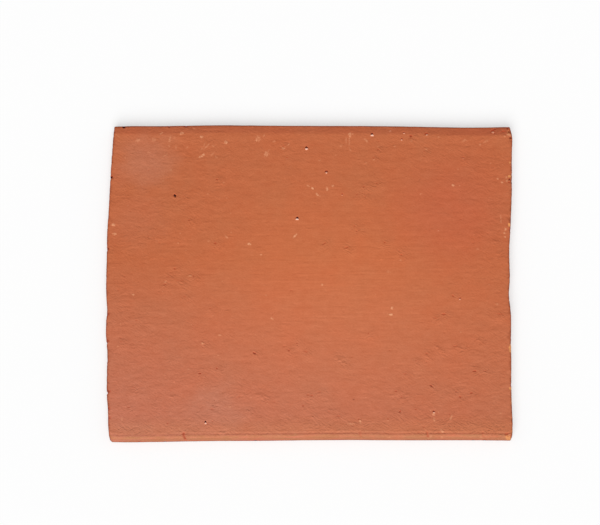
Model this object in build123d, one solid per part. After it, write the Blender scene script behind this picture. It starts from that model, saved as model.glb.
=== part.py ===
from build123d import *
import os

# A flat tile of fired clay. A die forms a ribbon of clay along X, and a wire cuts it to length at both ends.
# The tile lies on its underside. The origin is the middle of the underside's box, +X runs along the ribbon,
# +Y points to the back edge and +Z points up, out of the weather face. Lengths are in millimetres.

# Driving dimensions of the whole tile
tile_length = 170.0
tile_width = 140.0
tile_thickness = 5.0

# Edges that the die forms
front_arris_radius = 1.15
back_arris_radius = 0.5
lower_arris_radius = 0.45
groove_inset = 1.9
groove_depth = 0.13
groove_tool_radius = 4.2
back_fall_reach = 3.8
back_fall_drop = 0.36

# The die's ribbon is longer than the tile, and the cutting block is taller, by this much at each end
cut_allowance = 8.0
# How far the cutting block's front and back sides slope out towards the middle
cut_side_slope = 5.0

# Rounding in plan of the four corners
front_left_corner_radius = 2.4
front_right_corner_radius = 3.0
back_left_corner_radius = 0.5
back_right_corner_radius = 0.8

# How far the long edges lie inside the tile's box: (share of the length from the left end, set-back)
front_edge_bow = [
    (0.00, 0.10),
    (0.06, 0.00),
    (0.18, 0.35),
    (0.35, 0.60),
    (0.48, 0.85),
    (0.60, 1.00),
    (0.75, 0.85),
    (0.90, 0.90),
    (1.00, 0.70),
]
back_edge_bow = [
    (0.00, 0.70),
    (0.06, 0.40),
    (0.13, 0.40),
    (0.24, 0.04),
    (0.38, 0.15),
    (0.55, 0.30),
    (0.70, 0.45),
    (0.80, 0.80),
    (0.92, 1.05),
    (1.00, 0.80),
]

# How far the wire-cut ends lie inside the tile's box: (share of the width from the front edge, set-back)
left_end_wave = [
    (0.00, 2.40),
    (0.02, 1.90),
    (0.06, 1.50),
    (0.10, 1.35),
    (0.13, 0.95),
    (0.18, 0.80),
    (0.23, 0.85),
    (0.28, 0.85),
    (0.325, 0.25),
    (0.35, 0.20),
    (0.375, 0.25),
    (0.395, 0.55),
    (0.44, 0.30),
    (0.50, 0.00),
    (0.57, 0.20),
    (0.65, 0.20),
    (0.71, 0.65),
    (0.79, 1.10),
    (0.93, 2.05),
    (1.00, 2.75),
]
right_end_wave = [
    (0.00, 1.90),
    (0.03, 1.45),
    (0.09, 1.55),
    (0.18, 1.75),
    (0.26, 1.60),
    (0.33, 1.60),
    (0.385, 1.45),
    (0.43, 1.95),
    (0.465, 2.25),
    (0.50, 1.80),
    (0.54, 1.80),
    (0.60, 1.85),
    (0.66, 1.30),
    (0.73, 0.80),
    (0.79, 0.45),
    (0.86, 0.35),
    (0.93, 0.10),
    (0.96, 0.03),
    (0.983, 0.55),
    (1.00, 1.20),
]

# Chips out of the upper arris of the ends: (share of the end's line from the front, ball radius, bite)
left_end_chips = [(0.25, 1.8, 0.35), (0.60, 1.6, 0.45), (0.83, 1.5, 0.35)]
right_end_chips = [(0.06, 1.6, 0.40), (0.66, 1.5, 0.35), (0.82, 2.0, 0.50)]


def long_edge(bow, side, inset=0.0):
    """A long edge of the ribbon as a smooth curve; side is -1 for the front and +1 for the back."""
    stations = [(-tile_length / 2 - cut_allowance, bow[0][1])]
    stations += [((share - 0.5) * tile_length, set_back) for share, set_back in bow]
    stations += [(tile_length / 2 + cut_allowance, bow[-1][1])]
    return Spline(*[(x, side * (tile_width / 2 - set_back - inset)) for x, set_back in stations])


def end_line(wave, side):
    """A wire-cut end as a smooth curve from front to back; side is -1 for the left end, +1 for the right."""
    return Spline(*[(side * (tile_length / 2 - set_back), (share - 0.5) * tile_width) for share, set_back in wave])


def ribbon_edge(solid, side, height):
    """The edge that runs the ribbon's whole length at its front (-1) or back (+1), nearest to one height."""
    along = solid.edges().filter_by(lambda edge: edge.bounding_box().size.X > tile_length)
    return along.sort_by_distance((0, side * tile_width / 2, height))[0]


def groove_tool():
    """A round bar along the front edge, which dips into the weather face and leaves the groove."""
    path = long_edge(front_edge_bow, -1, groove_inset)
    path = path.moved(Location((0, 0, tile_thickness + groove_tool_radius - groove_depth)))
    return sweep(Plane(path @ 0, z_dir=path % 0) * Circle(groove_tool_radius), path)


def ribbon():
    """The ribbon of clay as it leaves the die, with the arrises, the groove and the fall along its long edges."""
    front = long_edge(front_edge_bow, -1)
    back = long_edge(back_edge_bow, 1)
    left = Line(front @ 0, back @ 0)
    right = Line(front @ 1, back @ 1)
    solid = extrude(make_face([front, right, back, left]), tile_thickness)
    solid = fillet(ribbon_edge(solid, -1, tile_thickness), front_arris_radius)
    solid = fillet(ribbon_edge(solid, -1, 0), lower_arris_radius)
    solid = fillet(ribbon_edge(solid, 1, 0), lower_arris_radius)
    back_side = solid.faces().sort_by(Axis.Y)[-1]
    solid = chamfer(ribbon_edge(solid, 1, tile_thickness), back_fall_drop, back_fall_reach, reference=back_side)
    solid = fillet(ribbon_edge(solid, 1, tile_thickness - back_fall_drop), back_arris_radius)
    return solid - groove_tool()


def cutting_block():
    """The space between the two wire cuts, with the rounding of the four corners in plan."""
    left = end_line(left_end_wave, -1)
    right = end_line(right_end_wave, 1)
    front_middle = (0, -tile_width / 2 - cut_side_slope)
    back_middle = (0, tile_width / 2 + cut_side_slope)
    front = Polyline(left @ 0, front_middle, right @ 0)
    back = Polyline(left @ 1, back_middle, right @ 1)
    outline = make_face([left, front, right, back])
    block = extrude(outline, tile_thickness + 2 * cut_allowance).moved(Location((0, 0, -cut_allowance)))
    corners = [
        (left @ 0, front_left_corner_radius),
        (right @ 0, front_right_corner_radius),
        (left @ 1, back_left_corner_radius),
        (right @ 1, back_right_corner_radius),
    ]
    for corner, radius in corners:
        upright = block.edges().filter_by(Axis.Z).sort_by_distance(corner)[0]
        block = fillet(upright, radius)
    return block


def chips(wave, side, chip_list):
    """Balls that sink into the upper arris of a wire-cut end, where a chip has come away."""
    line = end_line(wave, side)
    balls = []
    for share, ball_radius, bite in chip_list:
        rim = line @ share
        centre = (rim.X + side * (ball_radius - bite), rim.Y, tile_thickness)
        balls.append(Sphere(ball_radius).moved(Location(centre)))
    return balls


def main():
    os.makedirs("parts", exist_ok=True)
    tile = ribbon() & cutting_block()
    tile = tile - chips(left_end_wave, -1, left_end_chips) - chips(right_end_wave, 1, right_end_chips)
    box = tile.bounding_box()
    print("tile", box.min, box.max, "volume", tile.volume, "solids", len(tile.solids()))
    export_step(tile, "parts/clay_tile.step")


main()
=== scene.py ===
import math

import bpy
import numpy as np
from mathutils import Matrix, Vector
from mathutils.bvhtree import BVHTree


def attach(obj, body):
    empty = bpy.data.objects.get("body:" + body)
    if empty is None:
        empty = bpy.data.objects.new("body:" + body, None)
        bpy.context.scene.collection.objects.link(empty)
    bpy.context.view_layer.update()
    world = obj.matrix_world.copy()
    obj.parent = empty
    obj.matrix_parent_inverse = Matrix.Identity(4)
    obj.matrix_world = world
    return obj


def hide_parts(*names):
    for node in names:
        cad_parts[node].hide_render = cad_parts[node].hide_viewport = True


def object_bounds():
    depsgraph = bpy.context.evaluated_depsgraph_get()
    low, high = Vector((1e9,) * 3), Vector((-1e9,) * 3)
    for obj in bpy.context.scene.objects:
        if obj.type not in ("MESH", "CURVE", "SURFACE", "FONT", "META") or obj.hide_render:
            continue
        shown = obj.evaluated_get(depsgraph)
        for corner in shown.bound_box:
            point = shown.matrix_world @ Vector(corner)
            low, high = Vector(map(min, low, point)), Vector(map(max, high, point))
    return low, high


# A flat tile of unglazed fired clay, seen from the front at a steep angle. A die formed its long edges and a
# wire cut its two ends. Sizes are in millimetres until they reach Blender, which works in metres.
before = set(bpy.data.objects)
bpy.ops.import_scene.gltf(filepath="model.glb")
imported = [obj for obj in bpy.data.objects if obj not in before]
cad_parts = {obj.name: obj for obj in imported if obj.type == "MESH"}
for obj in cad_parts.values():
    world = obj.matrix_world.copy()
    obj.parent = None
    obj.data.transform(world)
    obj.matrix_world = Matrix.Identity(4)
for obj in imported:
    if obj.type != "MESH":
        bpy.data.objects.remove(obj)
cad_low, cad_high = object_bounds()
MM = 0.001
THICKNESS = (cad_high.z - cad_low.z) / MM
HALF_LENGTH = (cad_high.x - cad_low.x) / MM / 2
HALF_WIDTH = (cad_high.y - cad_low.y) / MM / 2

# The photograph's view: a long lens in front of the tile, which looks down on it
PHOTO_WIDTH_PX = 600
CAMERA_ELEVATION = math.radians(69.0)
CAMERA_DISTANCE = 2600.0
PIXELS_PER_MM = 2.397
AIM = Vector((-4.2, 8.8, 2.5))
SENSOR_WIDTH = 36.0

# Light: the sun and the sky together light a level face to the brightness that its colour is written with
SUN_ELEVATION = math.radians(42.0)
SUN_AZIMUTH = math.radians(-8.0)
SUN_ANGLE = math.radians(45.0)
SUN_SHARE = 0.60
SKY_SHARE = 0.40
SKY_SEEN = 1.0
FLOOR_HALF = 40.0
FLOOR_SEEN = 0.97
FLOOR_BOUNCE = 0.60
FLOOR_GLOW = 0.55

# Mesh detail, and how the outline is read off the solid: a ray at each step, from this far outside it
VOXEL = 0.25
TRIANGLE_BUDGET = 190000
OUTLINE_STEP = 0.25
OUTLINE_REACH = 20.0

# How deep the worn surface lies inside the solid, so that grains can stand out of it
FACE_INSET = 0.25
EDGE_INSET = 0.06
WALL_INSET = 0.03
UNDERSIDE_INSET = 0.06

# Relief of the weather face: heights of its broad waves, its swells and the die's long and short ripples
UNDULATION = 0.04
SWELL = 0.050
LONG_RIPPLE = 0.026
SHORT_RIPPLE = 0.042

# Depths and heights of its marks, for a mark whose own size, depth or strength is 1
DRAG_MARK_DEPTH = 0.045
DRAG_MARK_HALF_BREADTH = 0.42
SMALL_PIT_DEPTH = 0.6
SMALL_FLECK_HEIGHT = 0.2
PIT_DEPTH = 0.55
FLECK_HEIGHT = 0.06
PALE_BREAK_DEPTH = 0.15
END_ARRIS_DEPTH = 0.34
DEEPEST_RELIEF = 1.5

# Where the weather face is smooth, and where it is lighter and warmer: (x, y, half length, half breadth)
SMOOTH_MIDDLE = (14.0, 4.0, 80.0, 68.0)
CALM_PATCH = (-62.0, -3.0, 24.0, 14.0)
GLOW_PATCH = (8.0, -12.0, 62.0, 48.0)

# The paler clay towards the front: where along y it begins, the length to its full share, and the part of it
# that is lost by the right end
BLOOM_START = 10.0
BLOOM_SPAN = 185.0
BLOOM_LEAN = 0.41

# The solid's round groove behind the front arris: (distance from the front edge, depth, radius)
SOLID_GROOVE = (1.9, 0.13, 4.2)

# The sharper groove worked in its place, and fainter lines behind it: (distance from the front edge, depth)
GROOVE_PLACE = 1.7
GROOVE_HALF_BREADTH = 0.62
GROOVE_DEPTH = 0.17
FAINT_LINES = ((3.2, 0.020), (4.5, 0.030), (6.1, 0.022))
FAINT_LINE_HALF_BREADTH = 0.5

# Grains of grit that stand out of the weather face: (x, y, radius, height, whiteness)
GRAINS = [
    (-1.5, 59.1, 0.72, 0.3, 0.85),
    (6.9, 48.3, 0.65, 0.26, 0.65),
    (-5.3, 27.4, 0.72, 0.34, 1.0),
    (26.1, 65.3, 0.7, 0.3, 0.8),
    (49.1, 65.4, 0.5, 0.22, 0.55),
    (13.5, 38.2, 0.5, 0.18, 0.45),
    (38.6, 63.1, 0.48, 0.18, 0.6),
    (39.4, 66.1, 0.45, 0.2, 0.55),
    (76.9, 66.7, 0.8, 0.28, 0.4),
    (-43.2, -63.0, 0.62, 0.25, 0.9),
    (33.7, 67.3, 0.4, 0.09, 0.2),
    (51.0, -58.4, 0.55, 0.22, 0.7),
    (62.3, -8.4, 0.48, 0.14, 0.55),
    (-9.7, 54.7, 0.42, 0.07, 0.2),
    (64.2, 54.8, 0.38, 0.08, 0.2),
    (53.6, 22.3, 0.38, 0.08, 0.2),
]

# Pits: (x, y, half length, half breadth, turn in degrees, depth as a share of PIT_DEPTH)
PITS = [
    (-78.2, 68.9, 0.8, 0.52, 0, 1), (-59.2, 69.1, 0.5, 0.35, 0, 0.6),
    (-52, 69.2, 1.1, 0.3, 0, 0.5), (-83.1, 46.3, 0.62, 0.5, 0, 1),
    (-56.5, 38, 0.95, 0.42, 115, 0.85), (-53, 37.6, 0.3, 0.3, 0, 0.15),
    (-39, 45.2, 0.42, 0.3, 0, 0.35), (-50.5, 27, 0.4, 0.35, 20, 0.3),
    (-39.6, 16.5, 0.42, 0.4, 0, 0.35), (-67.6, 19.8, 0.35, 0.3, 0, 0.15),
    (-56.3, 5.2, 0.45, 0.35, 0, 0.3), (-48.6, 2, 0.35, 0.35, 0, 0.3),
    (-59, 1.6, 0.35, 0.3, 0, 0.2), (-60.5, -1.9, 0.8, 0.25, 25, 0.2),
    (-54, -0.1, 1.7, 0.22, 3, 0.15), (-52.1, -7.3, 0.4, 0.25, 0, 0.15),
    (-41.5, -12.5, 0.6, 0.35, 0, 0.12), (-72.1, -17.8, 0.4, 0.25, 0, 0.15),
    (-78.5, -27.2, 0.4, 0.25, 0, 0.15), (-11.2, 60.4, 0.6, 0.22, 10, 0.3),
    (28.5, 58.8, 0.4, 0.4, 0, 0.28), (26.6, 55, 0.55, 0.28, 15, 0.28),
    (27.9, 43.5, 0.35, 0.35, 0, 0.2), (22.5, 42.1, 0.5, 0.4, 0, 0.12),
    (19.5, 38.4, 0.45, 0.4, 0, 0.12), (23, 37.4, 0.4, 0.35, 0, 0.12),
    (42.4, 64.9, 0.62, 0.5, 0, 0.45), (42.3, 64.2, 0.45, 0.22, 0, 0.2),
    (48.6, 65.9, 0.8, 0.35, 25, 0.4), (47.9, 58, 0.4, 0.25, 0, 0.15),
    (64.3, 55.3, 0.42, 0.25, 0, 0.28), (31.2, 16.9, 0.4, 0.38, 0, 0.3),
    (38, 11.4, 0.45, 0.32, 10, 0.25), (37.2, 13.2, 0.4, 0.3, 0, 0.12),
    (19.4, 22, 0.35, 0.35, 0, 0.3), (18.5, 24.2, 0.65, 0.28, 65, 0.18),
    (6, 16.4, 0.9, 0.25, 35, 0.2), (15.1, 14.6, 1, 0.25, 20, 0.3),
    (24.3, -23.5, 0.35, 0.35, 0, 0.25), (59.5, -7, 0.7, 0.28, -50, 0.3),
    (55.4, -15.1, 1, 0.28, 3, 0.32), (52, -16.6, 1.1, 0.25, -5, 0.2),
    (78.7, -15, 1.8, 0.22, -5, 0.15), (-45.6, -41.3, 0.9, 0.36, -4, 0.45),
    (-46.3, -40.2, 0.7, 0.2, 5, 0.2), (-38.7, -39.1, 0.38, 0.35, 0, 0.35),
    (-75, -56.1, 0.7, 0.24, 0, 0.3), (-73.1, -47.4, 0.5, 0.25, 0, 0.2),
    (-40.5, -56.9, 0.8, 0.35, 0, 0.15), (-42.2, -63.3, 0.32, 0.35, 0, 0.35),
    (-58.9, -63.1, 0.4, 0.3, 0, 0.25), (-51.9, -68, 0.35, 0.35, 0, 0.25),
    (-23.1, -32.3, 0.85, 0.36, -30, 0.5), (-8.8, -31, 0.4, 0.38, 0, 0.4),
    (-5.5, -27.9, 0.38, 0.33, 0, 0.35), (-1.8, -31.6, 1.2, 0.28, -20, 0.22),
    (-1, -50.7, 0.9, 0.24, -10, 0.22), (0.7, -51, 0.45, 0.28, 0, 0.3),
    (3.8, -49.4, 0.9, 0.22, 0, 0.2), (-2.9, -55.5, 0.42, 0.38, -30, 0.35),
    (7.7, -58, 0.4, 0.25, 0, 0.15), (11.6, -60, 1.5, 0.22, 3, 0.15),
    (19.9, -61.2, 0.35, 0.35, 0, 0.35), (48.2, -32.5, 0.5, 0.3, 0, 0.2),
    (43.9, -35.6, 0.4, 0.3, 0, 0.2), (60.1, -29.1, 1, 0.25, 0, 0.2),
    (39.3, -41.4, 1, 0.25, 3, 0.15), (50.1, -46.7, 0.75, 0.36, -30, 0.5),
    (68.1, -40.2, 0.85, 0.3, 0, 0.42), (72.5, -40.2, 1.1, 0.22, 0, 0.2),
    (35.5, -49, 0.4, 0.35, 0, 0.25), (37.7, -51.6, 0.5, 0.35, 20, 0.2),
    (61.9, -51.5, 0.45, 0.42, 0, 0.42), (60.3, -49.2, 0.4, 0.3, 0, 0.2),
    (66.7, -49.7, 0.6, 0.33, 0, 0.3), (37, -58, 0.7, 0.4, 50, 0.35),
    (43.6, -57, 0.5, 0.3, 0, 0.2), (32.1, -61.2, 0.45, 0.4, 0, 0.25),
    (46.9, -64.7, 0.5, 0.35, 0, 0.2), (57.6, -59.2, 0.6, 0.25, 55, 0.25),
    (83.5, 45.4, 0.4, 0.55, 0, 0.6), (83.4, 44, 0.3, 0.4, 0, 0.4),
    (76.8, 66.6, 1.1, 0.85, 0, 0.36), (77.7, 68, 0.6, 0.25, 0, 0.45),
    (81.5, 66.9, 1.3, 0.4, 0, 0.2), (82.9, 68.3, 0.5, 0.4, 0, 0.5),
    (83.5, 66.8, 0.4, 0.6, 0, 0.55), (84.1, 64, 0.45, 0.65, 0, 0.6),
    (81, -67.9, 1.2, 0.65, 25, 0.22),
]

# Low ridges and crumbs pressed into the face: (x, y, half length, half breadth, turn in degrees, height)
RIDGES = [
    (-44.7, -27.6, 0.75, 0.45, -35, 0.2), (-57.3, -51.6, 1.7, 0.5, -25, 0.13),
    (-36.2, -67.3, 1.2, 0.4, 0, 0.15), (12.4, -35.5, 1.2, 0.48, -30, 0.16),
    (13.9, -36.7, 1.3, 0.42, -20, 0.12), (10.9, -34.3, 1.2, 0.42, -38, 0.1),
    (-21.6, -50.8, 1.6, 0.48, -10, 0.13), (-19.6, -51.9, 1.3, 0.42, 12, 0.1),
    (0.9, -60.4, 0.9, 0.4, -30, 0.15), (-25.5, -57.8, 1.2, 0.5, -30, 0.12),
    (52.6, -29.7, 1.4, 0.45, -35, 0.16), (54.4, -31.2, 1.3, 0.42, -30, 0.1),
    (62.3, -30.1, 1.2, 0.45, -25, 0.16), (69.9, -26.7, 1, 0.45, -10, 0.16),
    (39.9, -50.8, 1.3, 0.5, -10, 0.14), (38.2, -52.6, 1.3, 0.42, 8, 0.1),
    (76.7, 17.3, 1, 0.42, 0, 0.13), (68.9, 20.7, 1.1, 0.42, 5, 0.12),
    (15.4, 14.1, 1.2, 0.42, 18, 0.1), (5.6, 15.9, 1.2, 0.42, 25, 0.09),
    (24.5, 42.4, 1.2, 0.42, -15, 0.08), (-61, -2.6, 1.4, 0.42, 20, 0.12),
    (-53.6, -0.8, 1.6, 0.42, 0, 0.1), (50.7, -48, 1.6, 0.42, -35, 0.12),
    (78.3, 11.9, 1.6, 0.4, 0, 0.09), (57, -62.2, 1.3, 0.45, 35, 0.12),
    (66.5, -63.5, 1.5, 0.45, -20, 0.12), (73, -62, 1.6, 0.45, -25, 0.12),
]

# Pale flecks of lime and sand in the face: (x, y, half length, half breadth, turn in degrees, strength)
FLECKS = [
    (-80.7, 64.9, 0.9, 0.25, -40, 0.2), (-72.3, 62.8, 1, 0.8, 0, 0.32),
    (-65.5, 63.2, 1, 0.9, 0, 0.22), (-62.5, 65.9, 0.8, 0.3, 35, 0.4),
    (-58.8, 63.4, 1.2, 0.4, 80, 0.35), (-57.1, 64.1, 0.5, 0.35, 0, 0.3),
    (-59.1, 60.4, 0.6, 0.28, 90, 0.3), (-56.3, 59.6, 1, 0.22, 90, 0.24),
    (-51.8, 59.5, 0.8, 0.28, 30, 0.24), (-60.7, 56.1, 1.2, 0.28, 35, 0.24),
    (-53.7, 66, 0.9, 0.55, 15, 0.6), (-48.7, 68.3, 0.5, 0.35, 0, 0.3),
    (-45.7, 64.5, 0.6, 0.5, 0, 0.6), (-35.3, 62, 0.8, 0.7, 0, 0.78),
    (-43.2, 60.2, 1.3, 0.3, 45, 0.45), (-45.5, 58.9, 0.9, 0.3, 60, 0.3),
    (-45.5, 55.8, 1.55, 0.4, 30, 0.8), (-44.3, 61.3, 0.8, 0.25, 80, 0.26),
    (-40.7, 60.4, 0.7, 0.22, -10, 0.24), (-40.9, 56.6, 1, 0.3, 50, 0.3),
    (-39.4, 55.4, 0.8, 0.3, -40, 0.25), (-67.5, 57.6, 0.8, 0.4, 10, 0.2),
    (-58.5, 49.5, 0.6, 0.4, 0, 0.2), (-82.1, 24.8, 0.6, 0.5, 0, 0.8),
    (-81.7, 20.7, 0.75, 0.5, 0, 0.6), (-21.7, 63.6, 1, 1.25, 0, 0.3),
    (-22.4, 63, 0.3, 0.7, 0, 0.55), (-19.3, 65.1, 0.7, 0.25, 50, 0.35),
    (-15, 62.4, 0.6, 0.4, 0, 0.5), (-11.2, 59.2, 0.7, 0.4, 0, 0.4),
    (-9.1, 60.9, 0.9, 0.25, 55, 0.4), (-18.3, 56.8, 0.85, 1.2, -10, 0.48),
    (16.7, 65.3, 0.55, 1.3, 0, 0.55), (16.5, 62.2, 0.3, 2, 0, 0.35),
    (18, 65.7, 0.4, 0.4, 0, 0.45), (15.2, 62.6, 0.3, 1.5, 0, 0.25),
    (13, 60.4, 0.8, 0.3, 50, 0.25), (23.5, 62.8, 1.2, 0.35, -40, 0.45),
    (16.9, 58.6, 0.9, 0.3, -55, 0.25), (28.6, 60, 0.45, 0.28, 30, 0.3),
    (26.7, 54.1, 0.6, 0.28, 0, 0.42), (35.4, 60.2, 0.45, 0.4, 0, 0.26),
    (42.5, 62.6, 0.5, 0.28, 10, 0.36), (4, 53.7, 0.5, 0.3, 0, 0.3),
    (1, 41.2, 0.65, 0.5, -25, 0.95), (-0.6, 42.2, 0.9, 0.28, -35, 0.35),
    (3, 38.4, 0.9, 0.4, -45, 0.62), (7.1, 40.9, 0.55, 0.7, 0, 0.65),
    (9.4, 42.3, 0.6, 0.35, 0, 0.5), (24, 46.9, 0.4, 0.3, 0, 0.25),
    (54, 64.3, 0.5, 0.35, 0, 0.25), (64.5, 62.6, 0.9, 0.5, 30, 0.28),
    (71.4, 61, 0.6, 0.4, 20, 0.28), (74, 62.4, 1.2, 0.5, 35, 0.22),
    (78.7, 45.5, 0.45, 0.4, 0, 0.6), (80.4, 43.9, 0.5, 0.45, 0, 0.6),
    (60, 42.5, 0.5, 0.45, 0, 0.7), (46.4, 38.7, 0.6, 0.35, 20, 0.35),
    (48.7, 59, 0.5, 0.35, 0, 0.3), (50.3, 57.6, 0.4, 0.3, 0, 0.3),
    (79.8, 28.2, 0.3, 0.6, 0, 0.4), (79.8, 26.4, 0.3, 0.6, 0, 0.4),
    (81.6, 22.7, 0.45, 0.7, 0, 0.75), (81.1, 21.2, 0.4, 0.4, 0, 0.6),
    (81.4, 19.4, 0.4, 0.4, 0, 0.5), (-42.4, 17.5, 0.4, 0.35, 0, 0.4),
    (-35, 19.4, 1.1, 0.35, -50, 0.42), (-32.9, 21.4, 0.3, 0.3, 0, 0.4),
    (-49.7, 2, 0.5, 0.35, 0, 0.55), (-60, -0.5, 0.7, 0.3, 40, 0.28),
    (-73.5, -6.4, 0.55, 0.4, 0, 0.6), (-6.2, 20, 1.1, 0.4, 50, 0.75),
    (-25.4, 16.3, 0.65, 0.55, 0, 0.75), (-20.5, 11.3, 0.5, 0.4, 0, 0.5),
    (5.1, -2, 0.6, 0.4, 0, 0.55), (-15.8, -17, 0.9, 0.3, -50, 0.55),
    (37.7, 9, 0.5, 0.35, 0, 0.25), (32.7, 3.8, 0.9, 0.5, 0, 0.2),
    (34.1, -12.3, 0.6, 0.65, 0, 0.75), (33.4, -15.2, 0.78, 0.42, 5, 1),
    (77.7, -10.7, 0.6, 0.4, -40, 0.25), (-37.5, -24.4, 0.8, 0.3, 0, 0.45),
    (-44.6, -28.1, 0.6, 0.3, -10, 0.55), (-33.2, -56, 0.4, 0.35, 0, 0.4),
    (-77.7, -61.5, 0.3, 0.8, 0, 0.3), (51, -59, 0.5, 0.6, 0, 0.8),
    (51.2, -61.7, 1, 0.32, 105, 0.5), (53, -58.2, 0.3, 0.3, 0, 0.3),
    (58.2, -60.6, 1.2, 0.32, 60, 0.5), (53.9, -66, 0.35, 0.35, 0, 0.65),
    (54.4, -66.8, 0.45, 0.45, 0, 0.8), (20.7, -62.5, 1, 0.32, 110, 0.75),
    (16.9, -63.4, 1.9, 0.25, -4, 0.42), (-26.2, -68.4, 0.7, 0.25, 0, 0.3),
    (-6.1, -67.9, 0.6, 0.25, 0, 0.3), (49.2, -69, 0.95, 0.32, 20, 0.35),
    (54.3, -69.1, 0.45, 0.4, 0, 0.35), (70.6, -69.3, 1.3, 0.3, 0, 0.3),
    (83.4, 65.4, 0.7, 0.55, 0, 0.6), (81.7, 64.6, 0.45, 0.3, 0, 0.4),
    (82.2, 46.1, 0.45, 0.4, 0, 0.55), (82.4, 44.6, 0.5, 0.35, 0, 0.5),
]

# Soft patches of pale dust: (x, y, radius, strength)
DUST_PATCHES = [
    (-68.5, 54.0, 18.0, 0.58),
    (-39.0, -57.0, 16.0, 0.6),
    (-72.0, 26.0, 17.0, 0.22),
]

# A broad redder patch: (x, y, radius)
RUDDY_PATCH = (60.0, 31.0, 38.0)

# Fresh breaks along the right end, paler and yellower than the skin, and one on its front corner:
# (x, y, half length, half breadth, turn in degrees, strength)
PALE_BREAKS = [
    (83.6, 46.6, 0.75, 0.65, 0, 1.0),
    (83.2, 24.6, 0.6, 0.8, 0, 1.0),
    (83.1, -30.2, 0.7, 2.2, 0, 0.9),
    (82.9, -47.9, 0.7, 0.8, 0, 1.0),
    (83.3, -53.9, 0.5, 1.6, 0, 0.6),
    (83.5, -66.6, 0.7, 1.5, 0, 0.35),
    (83.4, 66.4, 0.6, 1.6, 0, 0.4),
    (83.8, 52.8, 0.4, 0.7, 0, 0.6),
]
CORNER_BREAKS = [(82.3, -69.4, 2.1, 1.1, 0, 0.65)]

# How far down the wall the colour of these breaks reaches
PALE_BREAK_REACH = 1.6
CORNER_BREAK_REACH = 4.0

# Chips off the upper corners and the arris of the right end: (x, y, z, ball radius)
CHIPS = [
    (82.7, -69.9, 5.3, 2.0),
    (84.6, 67.4, 5.6, 1.5),
    (-83.4, -70.3, 5.6, 1.3),
    (84.9, -30.2, 5.3, 2.0),
    (84.9, -47.9, 5.3, 1.9),
    (84.7, -53.9, 5.2, 1.6),
]

# The four sides: the axis across each one, and which way is out along that axis
SIDES = {"front": (1, -1), "back": (1, 1), "left": (0, -1), "right": (0, 1)}
END_SIDES = ("left", "right")

# Full-height notches where the wire tore crumbs out of the ends, and small nicks in the two long edges:
# (place along the edge, radius, depth)
EDGE_BREAKS = {
    "left": [
        (46.1, 0.7, 0.3), (14.1, 1.0, 0.85), (-15.2, 1.1, 0.5), (-26.9, 1.2, 0.6),
        (-35.2, 0.9, 0.35), (-49.2, 1.5, 0.75), (-56.7, 0.8, 0.45), (-60.7, 0.8, 0.35),
    ],
    "right": [(45.2, 0.8, 0.2), (22.7, 0.9, 0.3), (5.8, 0.7, 0.2), (-46.2, 0.8, 0.3), (-68.6, 0.6, 0.25)],
    "front": [(-70.6, 0.8, 0.15), (-60.0, 0.7, 0.12), (-22.6, 0.8, 0.15), (67.4, 0.6, 0.1), (72.0, 0.6, 0.1)],
    "back": [(-78.3, 0.9, 0.15), (-59.2, 0.6, 0.25), (-52.0, 1.0, 0.3)],
}

# For each side's breaks: the height of the ball that carves one, then the height and the reach of its shade
BREAK_HEIGHTS = {
    "left": (THICKNESS / 2, THICKNESS, THICKNESS),
    "right": (THICKNESS / 2, THICKNESS, THICKNESS),
    "front": (0.5, 0.5, 1.5),
    "back": (THICKNESS - 0.4, THICKNESS, 2.0),
}

# Slanting tears down the front wall: (x at its top, length, depth), their slant and their half breadth
FRONT_TEARS = [
    (-52.4, 5.2, 0.5),
    (20.4, 3.6, 0.26),
    (48.1, 3.6, 0.34),
    (71.0, 3.0, 0.22),
]
TEAR_SLANT = 0.25
TEAR_HALF_BREADTH = 0.45


def make_camera():
    """A camera at the photograph's angle, aimed off the tile's middle as there."""
    data = bpy.data.cameras.new("camera")
    data.sensor_width = SENSOR_WIDTH
    data.lens = SENSOR_WIDTH * CAMERA_DISTANCE * PIXELS_PER_MM / PHOTO_WIDTH_PX
    data.clip_start = 0.1
    data.clip_end = 50.0
    camera = bpy.data.objects.new("camera", data)
    back = Vector((0, -math.cos(CAMERA_ELEVATION), math.sin(CAMERA_ELEVATION)))
    camera.location = (AIM + back * CAMERA_DISTANCE) * MM
    camera.rotation_euler = (math.pi / 2 - CAMERA_ELEVATION, 0, 0)
    bpy.context.scene.collection.objects.link(camera)
    bpy.context.scene.camera = camera


# Noise

def smooth_noise(u, v, seed):
    """Smooth noise from -1 to 1 over a lattice of unit cells, the same each run for one seed."""
    cells = 256
    table = np.random.default_rng(seed).uniform(-1, 1, (cells, cells))
    cell_u = np.floor(u).astype(int)
    cell_v = np.floor(v).astype(int)
    part_u = u - cell_u
    part_v = v - cell_v
    ease_u = part_u ** 3 * (part_u * (part_u * 6 - 15) + 10)
    ease_v = part_v ** 3 * (part_v * (part_v * 6 - 15) + 10)
    low_u = cell_u % cells
    low_v = cell_v % cells
    high_u = (cell_u + 1) % cells
    high_v = (cell_v + 1) % cells
    near = table[low_u, low_v] * (1 - ease_u) + table[high_u, low_v] * ease_u
    far = table[low_u, high_v] * (1 - ease_u) + table[high_u, high_v] * ease_u
    return near * (1 - ease_v) + far * ease_v


def layered_noise(u, v, seed, layers=3, roughness=0.5):
    """Several layers of smooth noise, each twice as fine as the one before."""
    total = 0.0
    strength = 1.0
    for layer in range(layers):
        total = total + strength * smooth_noise(u * 2 ** layer, v * 2 ** layer, seed + layer)
        strength *= roughness
    return total


def ease(low, high, value):
    """0 below low, 1 above high, and a smooth rise between."""
    share = np.clip((value - low) / (high - low), 0, 1)
    return share * share * (3 - 2 * share)


# Where the tile's four edges lie, read from the CAD solid at half its thickness

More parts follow.
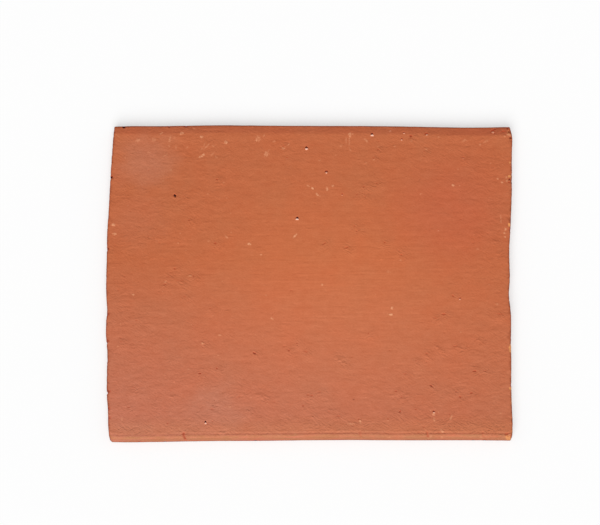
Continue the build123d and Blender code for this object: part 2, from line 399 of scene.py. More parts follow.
class Outline:
    """The plan outline of the solid: the front and back edges along x, the two ends along y."""

    def __init__(self, cad_object):
        mesh = cad_object.data
        corners = [vertex.co for vertex in mesh.vertices]
        self.solid = BVHTree.FromPolygons(corners, [tuple(face.vertices) for face in mesh.polygons])
        halves = (HALF_LENGTH, HALF_WIDTH)
        self.edges = {}
        for side, (axis, sign) in SIDES.items():
            last = halves[1 - axis] - 1
            stations = np.arange(-last, last, OUTLINE_STEP)
            hits = self.first_hits(stations, axis, sign, halves[axis] + OUTLINE_REACH)
            self.edges[side] = (stations, hits)

    def first_hits(self, stations, axis, sign, start):
        """The coordinate on one axis where a level ray from outside meets the solid, at each station."""
        direction = Vector((0, 0, 0))
        direction[axis] = -sign
        hits = []
        for station in stations:
            origin = Vector((station, station, THICKNESS / 2))
            origin[axis] = sign * start
            hit = self.solid.ray_cast(origin * MM, direction)[0]
            hits.append(np.nan if hit is None else hit[axis] / MM)
        hits = np.array(hits)
        found = ~np.isnan(hits)
        return np.interp(stations, stations[found], hits[found])

    def edge(self, side, place):
        """Where the edge of one side lies, at one place or many along it."""
        stations, hits = self.edges[side]
        return np.interp(place, stations, hits)

    def distances(self, x, y):
        """How far inside the front, back, left and right edges each point lies."""
        return (
            y - self.edge("front", x),
            self.edge("back", x) - y,
            x - self.edge("left", y),
            self.edge("right", y) - x,
        )


# Mesh helpers

def mesh_arrays(mesh):
    """A mesh's points in millimetres and its vertex normals."""
    points = np.empty(len(mesh.vertices) * 3)
    mesh.vertices.foreach_get("co", points)
    normals = np.empty(len(mesh.vertices) * 3)
    mesh.vertex_normals.foreach_get("vector", normals)
    return points.reshape(-1, 3) / MM, normals.reshape(-1, 3)


def put_points(mesh, points):
    """Puts points in millimetres back into a mesh, none of them above or below the solid."""
    points[:, 2] = np.clip(points[:, 2], 0, THICKNESS - 0.002)
    mesh.vertices.foreach_set("co", (points * MM).ravel())
    mesh.update()


def apply_modifier(thing, kind, **settings):
    """Gives the object the mesh that one modifier makes of its own."""
    modifier = thing.modifiers.new(kind.lower(), kind)
    for name, value in settings.items():
        setattr(modifier, name, value)
    graph = bpy.context.evaluated_depsgraph_get()
    made = bpy.data.meshes.new_from_object(thing.evaluated_get(graph))
    thing.modifiers.clear()
    old = thing.data
    thing.data = made
    bpy.data.meshes.remove(old)


# Small marks, each of which touches only the points near it

class Marks:
    """Points sorted along x, so that a small mark finds its own stretch of them at once."""

    def __init__(self, x, y):
        self.order = np.argsort(x, kind="stable")
        self.sorted_x = x[self.order]
        self.x = x
        self.y = y
        self.ragged = 0.6 * layered_noise(x / 0.55, y / 0.55, 201, 2)

    def near(self, centre_x, centre_y, reach):
        """The indices of the points within reach of a centre, along x and along y."""
        first, last = np.searchsorted(self.sorted_x, (centre_x - reach, centre_x + reach))
        chosen = self.order[first:last]
        return chosen[np.abs(self.y[chosen] - centre_y) < reach]

    def oval(self, centre_x, centre_y, half_length, half_breadth, turn, reach=1.3):
        """The points near an oval, with their places along and across it as shares of its half sizes."""
        chosen = self.near(centre_x, centre_y, max(half_length, half_breadth) * reach)
        angle = math.radians(turn)
        off_x = self.x[chosen] - centre_x
        off_y = self.y[chosen] - centre_y
        along = (off_x * math.cos(angle) + off_y * math.sin(angle)) / half_length
        across = (off_y * math.cos(angle) - off_x * math.sin(angle)) / half_breadth
        return chosen, along, across

    def dome(self, *oval):
        """The points near an oval, and a dome on it: 1 in its middle, falling to 0 on its ragged rim."""
        chosen, along, across = self.oval(*oval)
        spread = (along ** 2 + across ** 2) * (1 + self.ragged[chosen])
        return chosen, np.clip(1 - spread, 0, 1)

    def domes(self, ovals):
        """For each oval with a value at its end: the points near it, its dome and the value."""
        for *oval, value in ovals:
            yield *self.dome(*oval), value


# The weather face

def hill(x, y, patch):
    """1 in the middle of a patch (x, y, half length, half breadth), falling off smoothly all round."""
    middle_x, middle_y, half_length, half_breadth = patch
    return np.exp(-((x - middle_x) / half_length) ** 2 - ((y - middle_y) / half_breadth) ** 2)


def roughness_share(x, y):
    """The face is rougher towards its ends and its long edges than in the middle and in the calm patch."""
    middle_x, middle_y, half_length, half_breadth = SMOOTH_MIDDLE
    away = np.hypot((x - middle_x) / half_length, (y - middle_y) / half_breadth) ** 1.5
    return np.clip(0.15 + 0.85 * away - 0.45 * hill(x, y, CALM_PATCH), 0, 1)


def scattered(seed, count, low_size, high_size, stretch):
    """Seeded ovals on the face, fewer where it is smooth: (x, y, half length, half breadth, turn, size)."""
    draw = np.random.default_rng(seed)
    ovals = []
    for _ in range(count):
        x = draw.uniform(-HALF_LENGTH, HALF_LENGTH)
        y = draw.uniform(-HALF_WIDTH, HALF_WIDTH)
        size = draw.uniform(low_size, high_size)
        turn = draw.normal(0, 18)
        if draw.uniform() < roughness_share(x, y):
            ovals.append((x, y, size * stretch, size, turn, size))
    return ovals


DRAG_MARKS = scattered(11, 1500, 0.7, 2.2, 1.0)
SMALL_PITS = scattered(12, 170, 0.14, 0.28, 1.4)
SMALL_FLECKS = scattered(13, 130, 0.14, 0.30, 1.5)


def ripples(x, y, marks):
    """The die's waves in the clay: long and straight in the middle, short and bent outside it."""
    rough = roughness_share(x, y)
    drift = 0.5 * smooth_noise(x / 30, y / 9, 41)
    straight = layered_noise(x / 11, y / 0.72 + drift, 51, 2)
    bend_x = 1.2 * smooth_noise(x / 5, y / 3.5, 42)
    bend_y = 3.0 * smooth_noise(x / 5.5, y / 4.0, 43)
    for mark_x, mark_y, *_ in PITS + RIDGES:
        chosen = marks.near(mark_x, mark_y, 4.5)
        away = ((x[chosen] - mark_x) / 2.2) ** 2 + ((y[chosen] - mark_y) / 1.9) ** 2
        bend_y[chosen] -= 1.6 * np.exp(-away)
    bent = layered_noise(x / 2.6 + bend_x, y / 0.78 + bend_y, 61, 2)
    patchy = 0.7 + 0.3 * smooth_noise(x / 9, y / 7, 44)
    return LONG_RIPPLE * straight * (1 - 0.8 * rough) + SHORT_RIPPLE * bent * rough * patchy


def front_lines(x, front):
    """Height to add behind the front arris: a sharper groove and faint lines for the solid's round groove."""
    place, depth, radius = SOLID_GROOVE
    off = np.clip(np.abs(front - place), 0, radius)
    height = np.clip(np.sqrt(radius ** 2 - off ** 2) - (radius - depth), 0, depth)
    wander = 0.16 * smooth_noise(x / 9, x / 30, 211) + 0.07 * smooth_noise(x / 1.7, x / 30, 212)
    strength = (0.85 + 0.35 * smooth_noise(x / 5, x / 40, 213)) * (0.35 + 0.65 * ease(-75, -25, x))
    sides = np.clip(1 - np.abs(front - GROOVE_PLACE - wander) / GROOVE_HALF_BREADTH, 0, 1)
    height -= GROOVE_DEPTH * strength * sides
    for line_place, line_depth in FAINT_LINES:
        line_strength = np.clip(0.5 + 0.9 * smooth_noise(x / 14, line_place, 214), 0, 1)
        sides = np.clip(1 - np.abs(front - line_place - 2 * wander) / FAINT_LINE_HALF_BREADTH, 0, 1)
        height -= line_depth * line_strength * sides
    return height


def grains(marks):
    """Each grain: its height, whiteness, the points and dome of the hollow behind it, and those of its top."""
    for x, y, radius, rise, whiteness in GRAINS:
        hollow = marks.dome(x, y + 0.75 * radius, 0.95 * radius, 0.85 * radius, 0)
        top = marks.dome(x, y - 0.2 * radius, 0.85 * radius, 0.62 * radius, 0)
        yield rise, whiteness, *hollow, *top


def face_relief(x, y):
    """Height of the weather face over its plain level at each point."""
    marks = Marks(x, y)
    height = UNDULATION * layered_noise(x / 26, y / 19, 21, 2)
    height += SWELL * layered_noise(x / 7, y / 2.8, 31, 2) * (0.15 + 0.85 * roughness_share(x, y))
    height += ripples(x, y, marks)
    for mark_x, mark_y, half_length, _, turn, _ in DRAG_MARKS:
        chosen, along, across = marks.oval(mark_x, mark_y, half_length, DRAG_MARK_HALF_BREADTH, turn, 1.6)
        lip = np.exp(-along ** 2 * 2.5) * (np.exp(-across ** 2) - 0.8 * np.exp(-(across + 1.3) ** 2))
        height[chosen] -= DRAG_MARK_DEPTH * lip
    for ovals, rise, steepness in (
        (SMALL_PITS, -SMALL_PIT_DEPTH, 1),
        (SMALL_FLECKS, SMALL_FLECK_HEIGHT, 1),
        (RIDGES, 1, 1),
        (PITS, -PIT_DEPTH, 0.8),
        (FLECKS, FLECK_HEIGHT, 1),
        (PALE_BREAKS + CORNER_BREAKS, -PALE_BREAK_DEPTH, 1),
    ):
        for chosen, dome, value in marks.domes(ovals):
            height[chosen] += rise * value * dome ** steepness
    for rise, _, behind, hollow, on_it, top in grains(marks):
        height[behind] -= 0.9 * rise * hollow
        height[on_it] += rise * top ** 0.7
    return height


# Edges, walls and underside

def arris_fall(left, right, y):
    """How much the face falls away at the ragged arrises of the two wire-cut ends."""
    reach = np.clip(0.72 + 0.40 * layered_noise(y / 1.8, y / 40, 131, 3), 0.2, 1.6)
    near_left = np.clip(1 - left / reach, 0, 1) ** 2
    near_right = np.clip(1 - right / reach, 0, 1) ** 2
    return END_ARRIS_DEPTH * (near_left + near_right)


def edge_breaks(outline):
    """Each notch and nick: its side, its place on the edge, its radius and its depth."""
    for side, breaks in EDGE_BREAKS.items():
        for place, radius, depth in breaks:
            edge = outline.edge(side, place)
            x, y = (edge, place) if side in END_SIDES else (place, edge)
            yield side, x, y, radius, depth


def carve(points, chosen, centre, radius, upright):
    """Pushes the points inside a ball, or an upright bar, out to its rough surface."""
    off = points[chosen] - np.array(centre)
    if upright:
        height = points[chosen, 2]
        off[:, 0] += 0.16 * smooth_noise(height / 1.1, centre[1], 142)
        off[:, 1] += 0.40 * smooth_noise(height / 1.6, centre[1], 143)
        off[:, 2] = 0
    distance = np.maximum(np.linalg.norm(off, axis=1), 1e-6)
    bumps = smooth_noise(points[chosen, 0] / 0.7 + 40, (points[chosen, 1] + points[chosen, 2]) / 0.7, 141)
    surface = radius * (1 + 0.10 * bumps)
    inside = distance < surface
    move = off[inside] * (surface[inside] / distance[inside] - 1)[:, None]
    points[chosen[inside]] += move


def carve_edges(points, outline, marks):
    """Breaks the notches, nicks and chips out of the four edges."""
    for side, x, y, radius, depth in edge_breaks(outline):
        axis, sign = SIDES[side]
        centre = [x, y, BREAK_HEIGHTS[side][0]]
        centre[axis] += sign * (radius - depth)
        carve(points, marks.near(x, y, radius * 1.5), centre, radius, side in END_SIDES)
    for x, y, z, radius in CHIPS:
        carve(points, marks.near(x, y, radius * 1.2), (x, y, z), radius, False)


def tears(points, outline, marks):
    """Each tear: its depth, the points near it, and how much each of them lies in it."""
    for x, length, depth in FRONT_TEARS:
        edge = outline.edge("front", x)
        chosen = marks.near(x + 0.5, edge, 2.4)
        inside = np.clip(points[chosen, 1] - edge, 0, 2 * GROOVE_PLACE)
        down = np.abs(GROOVE_PLACE - inside) + THICKNESS - points[chosen, 2]
        off = points[chosen, 0] - x - TEAR_SLANT * down
        share = np.exp(-(off / TEAR_HALF_BREADTH) ** 2) * (1 - ease(0.7 * length, length, down))
        yield depth, chosen, share


def tear_front(points, outline, marks):
    """Presses the slanting tears into the front wall, from the groove down."""
    for depth, chosen, share in tears(points, outline, marks):
        points[chosen, 1] += depth * share
        points[chosen, 2] -= 0.5 * depth * share


def underside_relief(x, y):
    """Height of the underside over its plain level: nearly flat."""
    waves = 0.03 * layered_noise(x / 14, y / 9, 71, 2)
    grain = 0.012 * layered_noise(x / 3, y / 1.4, 81, 2)
    return np.clip(waves + grain, -UNDERSIDE_INSET, 1)


def wall_relief(x, y, z, normals):
    """How far the walls lie inside their plain level: streaked upright at the ends, lined along the sides."""
    end = 0.08 * layered_noise(y / 0.65, z / 3.5, 91, 2) + 0.07 * layered_noise(y / 2.6, z / 2.2, 101, 2)
    torn_foot = np.clip(layered_noise(y / 1.6, z / 5, 105, 2) - 0.1, 0, 1)
    end += 0.25 * torn_foot * (1 - ease(0.1, 1.0, z))
    side = 0.025 * layered_noise(x / 30, z / 0.6, 111, 2) + 0.035 * layered_noise(x / 3.5, z / 1.2, 121, 3)
    relief = np.clip(end, -WALL_INSET, 1) * normals[:, 0] ** 2
    return relief + np.clip(side, -WALL_INSET, 1) * normals[:, 1] ** 2


def shape_tile(tile, outline):
    """Works the relief of the clay into the mesh, always inwards from the solid."""
    points, normals = mesh_arrays(tile.data)
    x, y, z = points.T.copy()
    front, back, left, right = outline.distances(x, y)
    upper = ease(0.45 * THICKNESS, 0.9 * THICKNESS, z)
    lower = 1 - ease(0.1 * THICKNESS, 0.5 * THICKNESS, z)
    inset = EDGE_INSET + (FACE_INSET - EDGE_INSET) * ease(0.3, 10.0, np.minimum(front, back))
    relief = face_relief(x, y) - arris_fall(left, right, y) + front_lines(x, front)
    relief = np.clip(relief, -DEEPEST_RELIEF, FACE_INSET)
    inward = (WALL_INSET + wall_relief(x, y, z, normals)) * np.hypot(normals[:, 0], normals[:, 1])
    points[:, 0] -= normals[:, 0] * inward
    points[:, 1] -= normals[:, 1] * inward
    points[:, 2] += (relief - inset) * upper
    points[:, 2] += (UNDERSIDE_INSET + underside_relief(x, y)) * lower
    marks = Marks(points[:, 0], points[:, 1])
    tear_front(points, outline, marks)
    carve_edges(points, outline, marks)
    put_points(tile.data, points)


# What the material reads at each vertex

def raise_to(share, chosen, level):
    """Lifts the chosen points of a share to a level where they lie below it."""
    share[chosen] = np.maximum(share[chosen], level)


def fleck_share(marks):
    """How much of the pale flecks' colour each point has."""
    share = np.zeros(len(marks.x))
    for chosen, dome, _ in marks.domes(SMALL_FLECKS):
        raise_to(share, chosen, 0.40 * ease(0, 0.5, dome))
    for x, y, half_length, half_breadth, turn, strength in FLECKS:
        chosen, dome = marks.dome(x, y, half_length * 1.15, half_breadth * 1.15, turn)
        raise_to(share, chosen, strength * ease(0, 0.55, dome))
    return share


def fresh_share(marks, z):
    """How much of the fresh breaks' colour each point has, on the face and down the end wall."""
    share = np.zeros(len(z))
    down = (THICKNESS - z) * (1 + 0.35 * layered_noise(marks.y / 0.6, z / 0.6, 231, 2))
    for ovals, reach in ((PALE_BREAKS, PALE_BREAK_REACH), (CORNER_BREAKS, CORNER_BREAK_REACH)):
        for chosen, dome, strength in marks.domes(ovals):
            raise_to(share, chosen, strength * ease(0, 0.5, dome - (down[chosen] / reach) ** 2))
    return share


def grain_share(marks):
    """How white each point is with grit."""
    share = np.zeros(len(marks.x))
    for _, whiteness, _, _, on_it, top in grains(marks):
        raise_to(share, on_it, whiteness * ease(0, 0.4, top))
    return share


def pit_shade_share(marks, points, outline):
    """How much painted shade each point has in pits, tears and notches, and painted shadow behind grains."""
    z = points[:, 2]
    share = np.zeros(len(z))
    for chosen, dome, depth in marks.domes(PITS):
        raise_to(share, chosen, ease(0, 0.6, dome) * min(1, 0.10 + 1.3 * depth))
    for chosen, dome, _ in marks.domes(SMALL_PITS):
        raise_to(share, chosen, 0.20 * ease(0, 0.5, dome))
    for _, whiteness, behind, hollow, on_it, top in grains(marks):
        raise_to(share, behind, ease(0, 0.35, hollow) * min(1, 0.3 + 0.75 * whiteness))
        share[on_it] *= 1 - ease(0, 0.4, top)
    share *= ease(0.3 * THICKNESS, 0.7 * THICKNESS, z)
    for depth, chosen, tear in tears(points, outline, marks):
        raise_to(share, chosen, depth * (0.4 + 1.8 * depth) * tear)
    for side, x, y, radius, depth in edge_breaks(outline):
        _, height, reach = BREAK_HEIGHTS[side]
        darkness = 0.9 if side == "front" else 0.4 + 0.6 * depth
        chosen, dome = marks.dome(x, y, depth + 0.5, radius * 0.9, 0)
        away = np.abs(z[chosen] - height) / reach
        raise_to(share, chosen, darkness * ease(0, 0.6, dome) * (1 - ease(0.3, 1.3, away)))
    return share


def torn_share(marks, front):
    """How strong the slanting short ripples are: most behind the front edge and round the larger marks."""
    x, y = marks.x, marks.y
    patchy = 0.65 + 0.35 * smooth_noise(x / 7, y / 5, 221)
    share = (1 - ease(4, 17, front)) * (0.75 + 0.40 * ease(-70, 70, x)) * patchy
    share = np.maximum(share, 0.40 * roughness_share(x, y) * patchy)
    for mark_x, mark_y, *_ in PITS + RIDGES:
        chosen = marks.near(mark_x, mark_y, 6)
        away = np.hypot(x[chosen] - mark_x - 1, y[chosen] - mark_y + 1) / 2.8
        raise_to(share, chosen, 0.75 * np.exp(-away ** 2))
    return share


def face_shares(x, y, front, back):
    """Soft changes over the face: dust, the ruddy patch, the paler front band and the shaded fall."""
    dust = np.zeros(len(x))
    ragged = 0.15 * smooth_noise(x / 5, y / 5, 151)
    for patch_x, patch_y, radius, strength in DUST_PATCHES:
        away = np.hypot(x - patch_x, y - patch_y) / radius + ragged
        dust = np.maximum(dust, strength * (1 - ease(0.1, 1.0, away)))
    patch_x, patch_y, radius = RUDDY_PATCH
    shade = 1 - ease(3.2, 4.4, back + 0.3 * smooth_noise(x / 6, y / 3, 181))
    return {
        "dust": dust,
        "ruddy": 1 - ease(0.1, 1.0, np.hypot(x - patch_x, y - patch_y) / radius),
        "band": ease(1.3, 2.0, front) * (1 - ease(3, 11, front)),
        "shade": shade * (0.5 + 0.4 * ease(45, 80, x)),
    }


def edge_shares(x, y, z, normals, distances):
    """Shares of the cut ends and worn front arris, and of painted shade on the back wall and at the base."""
    front, back, left, right = distances
    ragged = 0.30 * layered_noise(y / 1.3, x / 1.3, 161, 2)
    rim = ease(0.55 * THICKNESS, 0.85 * THICKNESS, z)
    strip = 1 - ease(0.85, 1.30, front + 0.12 * smooth_noise(x / 2, y, 171))
    foot_shade = 1 - ease(0.5, 1.3, z + 0.3 * layered_noise(x / 2.5, y / 4, 175, 2))
    # Painted shade along the bottom of the front wall, where it meets the floor
    return {
        "cut": (1 - ease(0.0, 0.85, np.minimum(left, right) + ragged)) * (0.55 + 0.35 * rim),
        # Painted shade on the back wall and the back arris, strongest at the top
        "rear_shade": (1 - ease(0.25, 0.85, back)) * (0.40 + 0.55 * rim),
        "strip": strip * (1 - ease(0.5, 0.9, np.abs(normals[:, 0]))),
        "foot_shade": foot_shade * (1 - ease(0.2, 1.0, front)),
    }


def write_shares(tile, outline):
    """Stores at each vertex the shares that the material reads by their names."""
    points, normals = mesh_arrays(tile.data)
    x, y, z = points.T
    marks = Marks(x, y)
    distances = outline.distances(x, y)
    front, back = distances[:2]
    high = ease(0.5 * THICKNESS, 0.8 * THICKNESS, z)
    top = ease(0.3, 0.8, normals[:, 2]) * high
    shares = edge_shares(x, y, z, normals, distances)
    for name, values in face_shares(x, y, front, back).items():
        shares[name] = values * top
    shares["glow"] = hill(x, y, GLOW_PATCH)
    shares["bloom"] = np.clip((BLOOM_START - y) / BLOOM_SPAN, 0, 1) * (1 - BLOOM_LEAN * x / HALF_LENGTH)
    shares["fleck"] = fleck_share(marks) * high
    shares["grain"] = grain_share(marks) * top
    # Painted shade in pits, tears and notches, and painted shadow behind grains
    shares["pit_shade"] = pit_shade_share(marks, points, outline)
    shares["fresh"] = fresh_share(marks, z)
    shares["rough"] = roughness_share(x, y)
    shares["sandy"] = ease(0, 40, y)
    shares["torn"] = torn_share(marks, front)
    # Painted light: on the face, paler where it leans to the front and the sun, darker where it leans away
    shares["painted_light_lean"] = np.where(top > 0, np.clip(0.5 - 3.0 * normals[:, 1], 0, 1), 0.5)
    for name, values in shares.items():
        attribute = tile.data.attributes.new(name, "FLOAT", "POINT")
        attribute.data.foreach_set("value", values)


def keep_marks_dense(tile, outline):
    """Names the points that thinning may take: all but those round the larger marks of the clay."""
    x, y, z = mesh_arrays(tile.data)[0].T
    marks = Marks(x, y)
    spots = []
    for mark_x, mark_y, half_length, half_breadth, *_ in FLECKS + PITS + PALE_BREAKS + CORNER_BREAKS:
        spots.append((mark_x, mark_y, max(half_length, half_breadth) * 1.2 + 0.2))
    for mark_x, mark_y, radius, *_ in GRAINS:
        spots.append((mark_x, mark_y + 0.2, radius * 1.5 + 0.3))
    for tear_x, *_ in FRONT_TEARS:
        spots.append((tear_x + 0.5, outline.edge("front", tear_x) + 0.8, 1.4))
    plain = np.ones(len(x), bool)
    for spot_x, spot_y, reach in spots:
        chosen = marks.near(spot_x, spot_y, reach)
        plain[chosen[z[chosen] > 0.3 * THICKNESS]] = False
    group = tile.vertex_groups.new(name="thinning")
    group.add(np.nonzero(plain)[0].tolist(), 1.0, "REPLACE")


def make_tile(outline):
    """The tile: a fine skin over the solid, worked into clay and thinned where it is plain."""
    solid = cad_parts["clay_tile"]
    tile = bpy.data.objects.new("fired_clay_tile", solid.data.copy())
    bpy.context.scene.collection.objects.link(tile)
    apply_modifier(tile, "WELD", merge_threshold=0.001 * MM)
    apply_modifier(tile, "REMESH", mode="VOXEL", voxel_size=VOXEL * MM, adaptivity=0)
    shape_tile(tile, outline)
    triangles = sum(len(face.vertices) - 2 for face in tile.data.polygons)
    if triangles > TRIANGLE_BUDGET:
        keep_marks_dense(tile, outline)
        apply_modifier(tile, "DECIMATE", ratio=TRIANGLE_BUDGET / triangles, vertex_group="thinning")
        tile.vertex_groups.clear()
        put_points(tile.data, mesh_arrays(tile.data)[0])
    tile.data.polygons.foreach_set("use_smooth", [True] * len(tile.data.polygons))
    write_shares(tile, outline)
    return tile


# Material

def linear(red, green, blue):
    """A colour given as it shows on a screen, 0 to 255, in the linear values that a shader takes."""
    values = []
    for channel in (red, green, blue):
        share = channel / 255
        values.append(share / 12.92 if share <= 0.04045 else ((share + 0.055) / 1.055) ** 2.4)
    return (*values, 1.0)


# Colours of the clay
CLAY = linear(188, 102, 64)
WARM_CLAY = linear(202, 110, 68)
FRONT_CLAY = linear(198, 124, 104)
DUSTY_CLAY = linear(192, 132, 110)
SHADED_CLAY = linear(176, 90, 58)
# Painted shade on the back wall, in two tones for its pressed streaks
SHADED_BACK_WALL = (linear(134, 62, 35), linear(166, 84, 52))
CUT_END = (linear(128, 58, 32), linear(172, 88, 54))
# Painted shade in the pores of the cut ends
PORE_SHADE = linear(84, 32, 18)
WORN_ARRIS = linear(180, 113, 78)
# Painted shade along the bottom of the front wall
FOOT_SHADE = linear(146, 60, 36)
FRESH_BREAK = linear(226, 150, 92)
FLECK = linear(236, 166, 124)
GRIT = (linear(240, 164, 130), linear(253, 212, 194))
# Painted shade in pits, tears and notches, and painted shadow behind grains: lighter red, then near black
HOLLOW_SHADE = (linear(176, 48, 8), linear(48, 10, 6))

# Tints that a colour is multiplied by
NO_TINT = (1, 1, 1, 1)
BAND_TINT = (1.05, 1.10, 1.03, 1)
RUDDY_TINT = (1, 0.91, 1, 1)
CLOUD_TINTS = ((1.02, 0.975, 0.95, 1), (0.985, 1.02, 1.03, 1))
# The mottle's tints, also used to paint light on flanks that lean to the sun and shade on those that lean away
MOTTLE_AND_PAINTED_LIGHT_TINTS = ((0.967, 0.940, 0.915, 1), (1.033, 1.060, 1.085, 1))


class Nodes:
    """Short calls for one tree's shader nodes. A value may be a number, a colour or another node's socket."""

    def __init__(self, tree):
        self.tree = tree

    def new(self, kind, inputs=None, **settings):
        """A node with its settings and its inputs."""
        node = self.tree.nodes.new("ShaderNode" + kind)
        for name, value in settings.items():
            setattr(node, name, value)
        self.fill(node, inputs or {})
        return node

    def fill(self, node, inputs):
        """Sets or links a node's inputs, by name or number."""
        for name, value in inputs.items():
            if isinstance(value, bpy.types.NodeSocket):
                self.tree.links.new(value, node.inputs[name])
            else:
                node.inputs[name].default_value = value

    def share(self, name):
        """A share that write_shares has stored at the vertices."""
        return self.new("Attribute", attribute_name=name).outputs["Fac"]

    def math(self, operation, first, second):
        return self.new("Math", {0: first, 1: second}, operation=operation).outputs[0]

    def times(self, first, second):
        return self.math("MULTIPLY", first, second)

    def between(self, share, first, second):
        """A number that lies between two others, at a share of the way from the first."""
        return self.new("Mix", {"Factor": share, "A": first, "B": second}).outputs["Result"]

    def mix(self, share, first, second, blend="MIX"):
        """A colour mixed of two others. A mixing node takes colours at inputs 6 and 7, and gives one at 2."""
        node = self.new("Mix", {0: share, 6: first, 7: second}, data_type="RGBA", blend_type=blend)
        return node.outputs[2]

    def tint(self, share, colour, first, second):
        """The colour times a tint that lies between two others, at a share of the way from the first."""
        return self.mix(1.0, colour, self.mix(share, first, second), "MULTIPLY")

    def ramp(self, value, low, high, to_low=0.0, to_high=1.0):
        """A value that runs from low to high, brought to the span from to_low to to_high."""
        span = {"From Min": low, "From Max": high, "To Min": to_low, "To Max": to_high}
        return self.new("MapRange", {"Value": value, **span}).outputs[0]

    def by_ray(self, unseen, seen):
        """One number for the rays that light things, and another for those by which things are seen."""
        path = self.new("LightPath").outputs
        share = self.math("MAXIMUM", path["Is Camera Ray"], path["Is Glossy Ray"])
        share = self.math("MAXIMUM", share, path["Is Transmission Ray"])
        return self.ramp(share, 0, 1, unseen, seen)

    def place(self):
        """Where a point lies on the object."""
        return self.new("TexCoord").outputs["Object"]

    def turned(self, degrees):
        """The place, turned about the upright axis."""
        angle = math.radians(degrees)
        node = self.new("VectorRotate", {"Vector": self.place(), "Angle": angle}, rotation_type="Z_AXIS")
        return node.outputs[0]

    def pushed(self, size, reach):
        """The place, pushed along y by noise with lumps of one size, as far as reach."""
        push = self.times(self.math("SUBTRACT", self.noise(size, 1), 0.5), reach * MM)
        side = self.new("CombineXYZ", {"Y": push}).outputs[0]
        return self.new("VectorMath", {0: self.place(), 1: side}, operation="ADD").outputs[0]

    def noise(self, size, detail=2.0, roughness=0.5, stretch=(1, 1, 1), place=None):
        """Noise whose lumps are about size millimetres, longer along each axis by its stretch."""
        scale = [1 / (size * MM * share) for share in stretch]
        spread = self.new("VectorMath", {0: place or self.place(), 1: scale}, operation="MULTIPLY")
        shape = {"Scale": 1.0, "Detail": detail, "Roughness": roughness}
        return self.new("TexNoise", {"Vector": spread.outputs[0], **shape}).outputs["Fac"]


def clay_colour(nodes):
    """The plain clay: lighter and warmer in the middle, paler towards the front, with dust and a shaded fall.
    """
    colour = nodes.mix(nodes.share("glow"), CLAY, WARM_CLAY)
    colour = nodes.mix(nodes.share("bloom"), colour, FRONT_CLAY)
    colour = nodes.tint(nodes.share("band"), colour, NO_TINT, BAND_TINT)
    colour = nodes.tint(nodes.share("ruddy"), colour, NO_TINT, RUDDY_TINT)
    colour = nodes.mix(nodes.times(nodes.share("dust"), 0.45), colour, DUSTY_CLAY)
    return nodes.mix(nodes.share("shade"), colour, SHADED_CLAY)


def edge_colour(nodes, colour):
    """Pressed back wall, streaked ends, worn arris; painted shade on the back wall, in pores and at the base.
    """
    pressed = nodes.ramp(nodes.noise(0.9, 3, 0.6, (8, 1, 1)), 0.32, 0.68)
    # Painted shade on the back wall, streaked as it was pressed
    colour = nodes.mix(nodes.share("rear_shade"), colour, nodes.mix(pressed, *SHADED_BACK_WALL))
    streak = nodes.ramp(nodes.noise(0.8, 3, 0.6, (1, 1, 5)), 0.32, 0.68)
    # Painted shade in the pores of the cut ends
    pore_shade = nodes.ramp(nodes.noise(0.6, 1, 0.5, (1, 1, 1.6)), 0.66, 0.74)
    cut_clay = nodes.mix(pore_shade, nodes.mix(streak, *CUT_END), PORE_SHADE)
    colour = nodes.mix(nodes.share("cut"), colour, cut_clay)
    worn = nodes.ramp(nodes.noise(1.6, 3, 0.6, (5, 1, 1)), 0.3, 0.6)
    colour = nodes.mix(nodes.times(nodes.share("strip"), worn), colour, WORN_ARRIS)
    # Painted shade along the bottom of the front wall
    return nodes.mix(nodes.share("foot_shade"), colour, FOOT_SHADE)


def mottled(nodes, colour):
    """The colour with soft clouds, mottle and speckle, and painted light, paler where relief leans to the sun.
    """
    cloud = nodes.ramp(nodes.noise(14, 3), 0.3, 0.7)
    colour = nodes.tint(cloud, colour, *CLOUD_TINTS)
    mottle = nodes.ramp(nodes.noise(2.2, 4, 0.6, (1.8, 1, 1)), 0.3, 0.7)
    speckle = nodes.ramp(nodes.noise(0.6, 2, 0.6, (1.4, 1, 1)), 0.3, 0.7)
    for share in (mottle, speckle, nodes.share("painted_light_lean")):
        colour = nodes.tint(share, colour, *MOTTLE_AND_PAINTED_LIGHT_TINTS)
    return colour


def marked(nodes, colour):
    """The colour with fresh breaks, pale flecks, grit, and painted shade in pits and shadow behind grains."""
    colour = nodes.mix(nodes.share("fresh"), colour, FRESH_BREAK)
    broken = nodes.ramp(nodes.noise(0.5, 2), 0.38, 0.58, 0.3, 1.0)
    colour = nodes.mix(nodes.times(nodes.share("fleck"), broken), colour, FLECK)
    grain = nodes.share("grain")
    grit = nodes.mix(nodes.ramp(grain, 0.4, 1.0), *GRIT)
    colour = nodes.mix(nodes.ramp(grain, 0.0, 0.5), colour, grit)
    # Painted shade in pits, tears and notches, and painted shadow behind grains
    pit_shade = nodes.share("pit_shade")
    return nodes.mix(pit_shade, colour, nodes.mix(nodes.ramp(pit_shade, 0.45, 0.9), *HOLLOW_SHADE))


def fine_height(nodes):
    """The finest relief as a height in millimetres: the die's ripples, sand and slanting short ripples."""
    straight = nodes.times(nodes.noise(0.8, 2, 0.6, (20, 1, 1)), 0.08)
    bent = nodes.times(nodes.noise(0.85, 2, 0.6, (2.8, 1, 1), nodes.pushed(3, 7)), 0.13)
    ripple = nodes.between(nodes.share("rough"), straight, bent)
    sand_height = nodes.ramp(nodes.share("sandy"), 0, 1, 0.045, 0.075)
    sand = nodes.times(nodes.noise(0.5, 3, 0.6, (1.5, 1, 1)), sand_height)
    falling = nodes.noise(0.7, 2, 0.6, (3.2, 1, 1), nodes.turned(34))
    rising = nodes.noise(0.7, 2, 0.6, (3.2, 1, 1), nodes.turned(-30))
    slanting = nodes.between(nodes.ramp(nodes.noise(3.2, 1), 0.42, 0.52), rising, falling)
    torn = nodes.times(nodes.times(slanting, nodes.share("torn")), 0.60)
    return nodes.math("ADD", nodes.math("ADD", ripple, sand), torn)


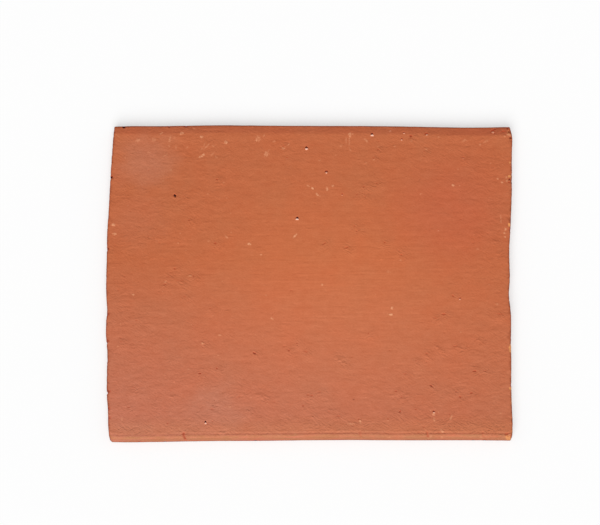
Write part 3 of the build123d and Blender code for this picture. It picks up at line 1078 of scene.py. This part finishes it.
def make_clay():
    """Unglazed fired clay: its colour, its dull surface and its finest relief."""
    material = bpy.data.materials.new("fired_clay")
    material.use_nodes = True
    nodes = Nodes(material.node_tree)
    colour = edge_colour(nodes, clay_colour(nodes))
    bump = nodes.new("Bump", {"Height": fine_height(nodes), "Distance": MM, "Strength": 1.0})
    nodes.fill(nodes.tree.nodes["Principled BSDF"], {
        "Base Color": marked(nodes, mottled(nodes, colour)),
        "Roughness": nodes.ramp(nodes.noise(1.5, 3), 0.3, 0.7, 0.84, 0.94),
        "Specular IOR Level": 0.25,
        "Normal": bump.outputs[0],
    })
    return material


# Light and floor

def make_light():
    """A broad sun from the tile's front and an even white sky."""
    data = bpy.data.lights.new("key", "SUN")
    data.angle = SUN_ANGLE
    data.energy = SUN_SHARE * math.pi / math.sin(SUN_ELEVATION)
    key = bpy.data.objects.new("key", data)
    key.rotation_euler = (math.pi / 2 - SUN_ELEVATION, 0, SUN_AZIMUTH)
    bpy.context.scene.collection.objects.link(key)

    world = bpy.data.worlds.new("sky")
    bpy.context.scene.world = world
    world.use_nodes = True
    nodes = Nodes(world.node_tree)
    strength = nodes.by_ray(SKY_SHARE, SKY_SEEN)
    nodes.fill(world.node_tree.nodes["Background"], {"Color": (1, 1, 1, 1), "Strength": strength})


def make_floor():
    """A wide plain white floor at the level that the tile lies on."""
    corners = [(x * FLOOR_HALF, y * FLOOR_HALF, 0) for x, y in ((-1, -1), (1, -1), (1, 1), (-1, 1))]
    mesh = bpy.data.meshes.new("floor")
    mesh.from_pydata(corners, [], [(0, 1, 2, 3)])
    floor = bpy.data.objects.new("floor", mesh)
    bpy.context.scene.collection.objects.link(floor)
    material = bpy.data.materials.new("floor_paint")
    material.use_nodes = True
    material.node_tree.nodes.clear()
    nodes = Nodes(material.node_tree)
    paint = nodes.new("BsdfDiffuse", {"Color": nodes.by_ray(FLOOR_BOUNCE, FLOOR_SEEN)}).outputs[0]
    glow = nodes.new("Emission").outputs[0]
    blend = nodes.new("MixShader", {0: nodes.by_ray(0, FLOOR_GLOW), 1: paint, 2: glow})
    nodes.new("OutputMaterial", {"Surface": blend.outputs[0]})
    mesh.materials.append(material)


def main():
    """Builds the camera, the light, the floor and the tile, and says what the tile stands for."""
    make_camera()
    make_light()
    make_floor()
    tile = make_tile(Outline(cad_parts["clay_tile"]))
    tile.data.materials.clear()
    tile.data.materials.append(make_clay())
    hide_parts("clay_tile")
    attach(tile, "root")
    bpy.context.scene.view_settings.view_transform = "Standard"


main()
